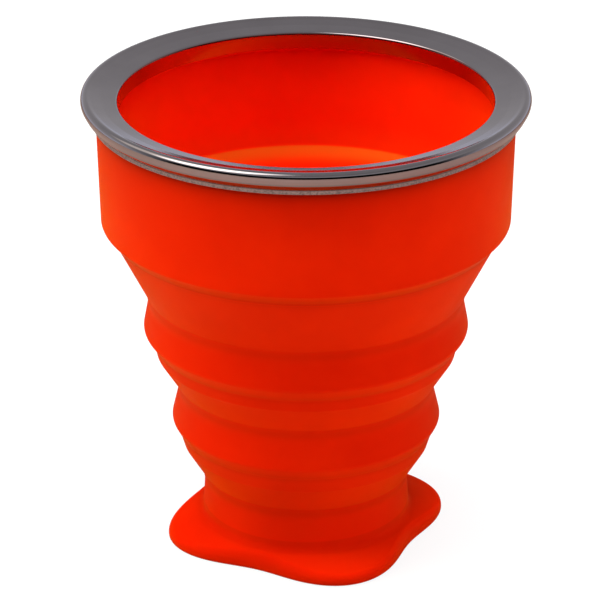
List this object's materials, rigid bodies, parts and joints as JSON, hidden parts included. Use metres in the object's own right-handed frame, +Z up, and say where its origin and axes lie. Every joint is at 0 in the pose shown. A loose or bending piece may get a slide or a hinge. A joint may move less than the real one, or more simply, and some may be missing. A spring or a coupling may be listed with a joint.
{
  "type": "collapsible travel cup",
  "caption": "Collapsible drinking cup: silicone tiers that nest by folding thin webs between them, with a pressed steel rim and a lobed foot.",
  "frame": {"origin": "centre of the foot's underside, where the open cup stands on the table", "axes": "+Z up along the cup's axis, out of the mouth; +X to the right and +Y to the back as the cup is pictured. One foot lobe points 19.6 degrees from +X towards +Y and the others follow every 90 degrees"},
  "size_m": [0.0888, 0.0888, 0.0959],
  "materials": {
    "silicone": "matte moulded silicone, orange-red",
    "polished_steel": "polished stainless steel"
  },
  "bodies": {
    "base": {"base_cup": "silicone"},
    "lower": {"lower_tier": "silicone", "fold_web_lower": "silicone"},
    "middle": {"middle_tier": "silicone", "fold_web_middle": "silicone"},
    "upper": {"upper_tier": "silicone", "fold_web_upper": "silicone", "rim_ring": "polished_steel"}
  },
  "joints": [
    {"name": "lower_fold", "type": "slide", "parent": "base", "child": "lower", "axis": [0, 0, -1], "range_m": [0, 0.0184], "deforming": ["fold_web_lower"]},
    {"name": "middle_fold", "type": "slide", "parent": "lower", "child": "middle", "axis": [0, 0, -1], "range_m": [0, 0.0168], "deforming": ["fold_web_middle"]},
    {"name": "upper_fold", "type": "slide", "parent": "middle", "child": "upper", "axis": [0, 0, -1], "range_m": [0, 0.025], "deforming": ["fold_web_upper"]}
  ]
}
